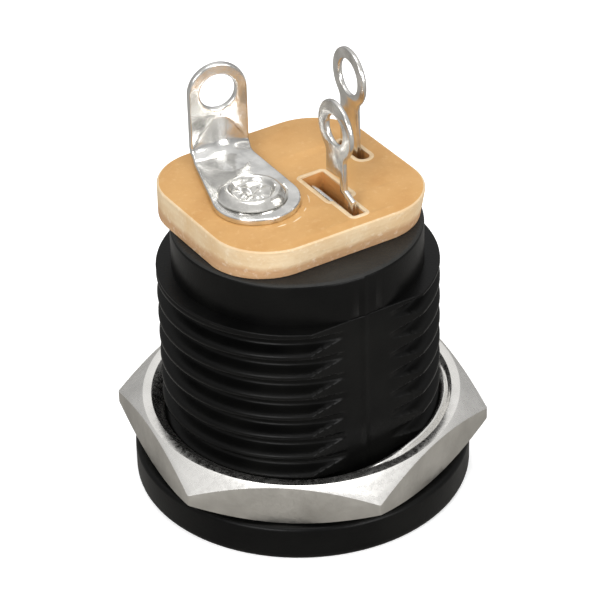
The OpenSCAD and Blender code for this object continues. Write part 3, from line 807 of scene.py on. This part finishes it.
def makePinLug(g):
    middleR = g["bendR"] + g["thick"] / 2
    bendStart = g["reach"] - g["thick"] / 2 - middleR
    arc = middleR * math.pi / 2
    bendEnd = bendStart + arc
    sheetZ = g["low"] + g["thick"] / 2
    holeAt = bendEnd + g["holeZ"] - (sheetZ + middleR)
    upright = g["w"] / 2
    lean = math.degrees(math.asin((g["endR"] - upright) / bendStart))
    outline = arcPoints(g["endShift"], g["endR"], 180 - lean, 360 + lean, 40)
    outline += [(upright, bendStart + 0.3)]
    outline += arcPoints((0, holeAt), upright, 0, 180, 40)
    outline += [(-upright, bendStart + 0.3)]
    holes = [arcPoints((0, holeAt), g["holeR"], 0, 360, 48)[:-1], arcPoints((0, 0), g["shankR"], 0, 360, 32)[:-1]]
    work = sheetBlank(outline, holes, g["thick"], g["edge"])
    ribStart = bendStart - g["ribLeg"]
    ribEnd = bendEnd + g["ribLeg"]
    steps = 34
    scoreLines(work, [ribStart + (ribEnd - ribStart) * i / steps for i in range(steps + 1)], 1)
    scoreLines(work, [-1.2 + 0.075 * i for i in range(33)], 0)
    turn = math.radians(-g["turn"])

    def bent(u, w):
        if u <= bendStart:
            return u, sheetZ + w
        if u >= bendEnd:
            return bendStart + middleR - w, sheetZ + middleR + (u - bendEnd)
        a = (u - bendStart) / middleR
        return bendStart + (middleR - w) * math.sin(a), sheetZ + middleR - (middleR - w) * math.cos(a)

    def place(v, u, w):
        y, z = bent(u, w)
        # a pointed dart pressed across the inside of the bend, widest at the fold
        if ribStart < u < ribEnd:
            share = (u - ribStart) / (ribEnd - ribStart)
            y0, z0 = bent(ribStart, 0)
            y1, z1 = bent(ribEnd, 0)
            ridge = (y0 + (y1 - y0) * share - w * 0.7071, z0 + (z1 - z0) * share + w * 0.7071)
            half = g["ribHalf"] * (1 - abs(2 * share - 1)) + 0.05
            across = (math.hypot(v, g["ribSoft"]) - g["ribSoft"]) / half
            mask = g["ribRise"] * (1 - smoothStep(-0.6, 1.0, across)) / (1 - smoothStep(-0.6, 1.0, 0))
            y, z = y + (ridge[0] - y) * mask, z + (ridge[1] - z) * mask
        return (g["x"] + v * math.cos(turn) - y * math.sin(turn), v * math.sin(turn) + y * math.cos(turn), z)

    return finishSheet("pinLugPiece", work, place, lugTin)


pinLugPiece = makePinLug(pinLug)
print("pin lug made", len(pinLugPiece.data.polygons))


loop = {"r": 1.3, "z": 17.2, "neck": 1.4, "fillet": 0.5, "thick": 0.22, "edge": 0.07}


def loopOutline(y, k, lift=0.0):
    # the round end of a narrow lug, from the foot of its right fillet over the top to that of its left
    w = k["neck"] / 2
    f = k["fillet"]
    drop = math.sqrt((k["r"] + f) ** 2 - (w + f) ** 2)
    a = math.degrees(math.atan2(drop, w + f))
    z = k["z"] + lift
    points = arcPoints((y + w + f, z - drop), f, 180, 180 - a, 8)
    points += arcPoints((y, z), k["r"], -a, 180 + a, 56)[1:-1]
    points += arcPoints((y - w - f, z - drop), f, a, 0, 8)
    return points


def bendPath(corners, reach, twist=0.0, middle=0.0, twistFrom=14.6, twistTo=15.8):
    # x of the middle of a strip at height z, with each corner of the path eased over a short reach
    def straight(z):
        for (x0, z0), (x1, z1) in zip(corners, corners[1:]):
            if z0 >= z >= z1:
                return x0 + (x1 - x0) * (z0 - z) / (z0 - z1)
        return corners[0][0] if z > corners[0][1] else corners[-1][0]

    def eased(z):
        return sum(straight(z + reach * (k - 4) / 4) for k in range(9)) / 9

    def place(y, z, w):
        slope = (eased(z + 0.02) - eased(z - 0.02)) / 0.04
        long = math.sqrt(1 + slope * slope)
        x = w / long
        a = math.radians(twist) * smoothStep(twistFrom, twistTo, z)
        along = y - middle
        return (eased(z) + x * math.cos(a) + along * math.sin(a),
                middle + along * math.cos(a) - x * math.sin(a),
                z - w * slope / long)

    return place


sleeve = {
    "x": 0.95, "lugY": -1.7, "leafLow": -3.0, "leafHigh": 0.2, "leafTop": 13.65,
    "bendZ": 6.0, "bowX": 0.1, "bowZ": 3.3,
    "tipX": 0.83, "tipZ": 1.85, "tipW": 2.2, "neckZ": 15.1, "legW": 0.34, "legStep": 0.6, "footZ": 14.45,
    "earLow": 6.2, "earHigh": 7.4, "earW": 1.3, "holeR": 0.65, "twist": 2.5,
}


def makeSleeve(s, k):
    y0 = s["lugY"] - k["neck"] / 2
    e0, e1 = s["leafLow"], s["leafHigh"]
    legOut = y0 - s["legStep"]
    outline = loopOutline(s["lugY"], k)
    outline += [
        (y0, s["footZ"] + 0.2), (legOut, s["footZ"] - 0.05), (legOut, s["leafTop"]),
        (e0, s["leafTop"] - 0.06), (e0, s["bendZ"]),
        (e1 - s["tipW"], s["bowZ"] + 1.1), (e1 - s["tipW"], s["tipZ"] + 0.3), (e1 - s["tipW"] + 0.3, s["tipZ"]),
        (e1 - 0.3, s["tipZ"]), (e1, s["tipZ"] + 0.3), (e1, s["earLow"]), (e1 + s["earW"], s["earLow"]),
        (e1 + s["earW"], s["earHigh"]), (e1, s["earHigh"]), (e1, s["leafTop"]), (legOut + s["legW"], s["leafTop"]),
        (legOut + s["legW"], s["footZ"] - 0.2), (y0 + s["legW"], s["footZ"] + 0.05), (y0 + s["legW"], s["neckZ"]),
        (y0 + k["neck"], s["neckZ"] - 0.08),
    ]
    hole = arcPoints((s["lugY"], k["z"]), s["holeR"], 0, 360, 48)[:-1]
    work = sheetBlank(outline, [hole], k["thick"], k["edge"])
    scoreLines(work, [s["tipZ"] + 0.1 + 0.12 * i for i in range(42)], 1)
    corners = [(s["x"], 20), (s["x"], s["bendZ"]), (s["bowX"], s["bowZ"]), (s["tipX"], s["tipZ"] - 0.3)]
    place = bendPath(corners, 0.4, s["twist"], s["lugY"])
    return finishSheet("sleevePiece", work, place, contactTin)


sleevePiece = makeSleeve(sleeve, loop)

switch = {
    "x": 3.65, "innerX": 0.73, "y": 1.42, "low": 5.6, "jogLow": 9.0, "jogHigh": 10.4,
    "lift": 0.2, "holeR": 0.8, "twist": 4,
}


def makeSwitch(s, k):
    y0 = s["y"] - k["neck"] / 2
    y1 = y0 + k["neck"]
    outline = loopOutline(s["y"], k, s["lift"]) + [(y0, s["low"]), (y1, s["low"])]
    hole = arcPoints((s["y"], k["z"] + s["lift"]), s["holeR"], 0, 360, 48)[:-1]
    work = sheetBlank(outline, [hole], k["thick"], k["edge"])
    scoreLines(work, [8.4 + 0.1 * i for i in range(27)], 1)
    corners = [(s["x"], 20), (s["x"], s["jogHigh"]), (s["innerX"], s["jogLow"]), (s["innerX"], s["low"] - 0.1)]
    place = bendPath(corners, 0.35, s["twist"], s["y"])
    return finishSheet("switchPiece", work, place, contactTin)


switchPiece = makeSwitch(switch, loop)
print("contacts made")


# ---------------------------------------------------------------- what stands for what

for piece, node, slotName in (
    (housingPiece, "housing", "moulded_nylon"),
    (nutPiece, "hex_nut", "nut_nickel"),
    (boardPiece, "back_board", "phenolic_laminate"),
    (pinPiece, "centre_pin", "pin_nickel"),
    (pinLugPiece, "pin_lug", "lug_tinplate"),
    (sleevePiece, "sleeve_contact", "contact_tinplate"),
    (switchPiece, "switch_contact", "contact_tinplate"),
):
    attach(piece, "root")
    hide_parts(node)

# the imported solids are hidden, but they still carry a material each
for node, material in (
    ("housing", nylonBody), ("hex_nut", nutNickel), ("back_board", boardTop), ("centre_pin", pinNickel),
    ("pin_lug", lugTin), ("sleeve_contact", contactTin), ("switch_contact", contactTin),
):
    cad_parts[node].data.materials.clear()
    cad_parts[node].data.materials.append(material)


# ---------------------------------------------------------------- floor, light, camera

studio = {
    "floorSeen": "#ffffff", "floorLit": "#b4b2ae", "floorGlow": 0.5,
    "worldTop": 1.0, "worldLow": 0.45, "worldFill": 0.4,
}


def makeFloor(s):
    material, tree, shader, place = newMaterial("pale paper sweep")
    path = addNode(tree, "ShaderNodeLightPath")
    colour = mixColours(tree, path.outputs["Is Camera Ray"], toLinear(s["floorLit"]), toLinear(s["floorSeen"]))
    tree.links.new(colour, shader.inputs["Base Color"])
    shader.inputs["Roughness"].default_value = 0.9
    # the camera sees the paper near white, and the object's shadow still falls on it
    glow = addNode(tree, "ShaderNodeMath", {0: path.outputs["Is Camera Ray"], 1: s["floorGlow"]},
                   operation="MULTIPLY")
    shader.inputs["Emission Color"].default_value = (1, 1, 1, 1)
    tree.links.new(glow.outputs[0], shader.inputs["Emission Strength"])
    bpy.ops.mesh.primitive_plane_add(size=1.2, location=(0, 0, -0.00002))
    floor = bpy.context.active_object
    floor.name = "floor"
    floor.data.materials.append(material)
    return floor


makeFloor(studio)


def makeWorld(s):
    world = bpy.data.worlds.new("studio")
    bpy.context.scene.world = world
    world.use_nodes = True
    tree = world.node_tree
    tree.nodes.clear()
    path = addNode(tree, "ShaderNodeLightPath")
    direction = addNode(tree, "ShaderNodeTexCoord").outputs["Generated"]
    height = addNode(tree, "ShaderNodeSeparateXYZ", {"Vector": direction})
    # mirrors see a white ceiling over a greyer room
    seen = spread(tree, height.outputs["Z"], s["worldLow"], s["worldTop"], 0.3, 1.0)
    mirror = addNode(tree, "ShaderNodeMath",
                     {0: path.outputs["Is Glossy Ray"], 1: path.outputs["Is Transmission Ray"]}, operation="MAXIMUM")
    strength = addNode(tree, "ShaderNodeMix", {0: mirror.outputs[0], 2: s["worldFill"], 3: seen}, data_type="FLOAT")
    final = addNode(tree, "ShaderNodeMix", {0: path.outputs["Is Camera Ray"], 2: strength.outputs[0], 3: 1.0},
                    data_type="FLOAT")
    background = addNode(tree, "ShaderNodeBackground", {"Color": (1, 1, 1, 1), "Strength": final.outputs[0]})
    output = addNode(tree, "ShaderNodeOutputWorld")
    tree.links.new(background.outputs[0], output.inputs["Surface"])


makeWorld(studio)


def addSoftbox(name, place, size, power, aim=(0, 0, 0.008), colour=(1, 1, 1)):
    light = bpy.data.lights.new(name, "AREA")
    light.shape = "RECTANGLE"
    light.size, light.size_y = size
    light.energy = power
    light.color = colour
    lamp = bpy.data.objects.new(name, light)
    lamp.location = place
    lamp.rotation_euler = (Vector(aim) - Vector(place)).to_track_quat("-Z", "Y").to_euler()
    bpy.context.scene.collection.objects.link(lamp)
    return lamp


addSoftbox("key", (-0.2, -0.12, 0.14), (0.12, 0.12), 0.36)
addSoftbox("fill", (0.06, -0.27, 0.1), (0.14, 0.14), 0.42)
addSoftbox("back wall", (0.17, 0.26, 0.24), (0.32, 0.26), 0.05)
addSoftbox("ceiling", (0, 0, 0.3), (0.17, 0.17), 0.26)

camera = bpy.data.cameras.new("camera")
camera.lens = 178
camera.sensor_width = 36
camera.clip_start = 0.01
camera.clip_end = 10
cameraObject = bpy.data.objects.new("camera", camera)
cameraObject.location = (-0.05521, -0.09009, 0.07716)
cameraObject.rotation_euler = (math.radians(56.926), math.radians(1.324), math.radians(-32.389))
bpy.context.scene.collection.objects.link(cameraObject)
bpy.context.scene.camera = cameraObject
bpy.context.scene.view_settings.view_transform = "Standard"

print("scene ready")
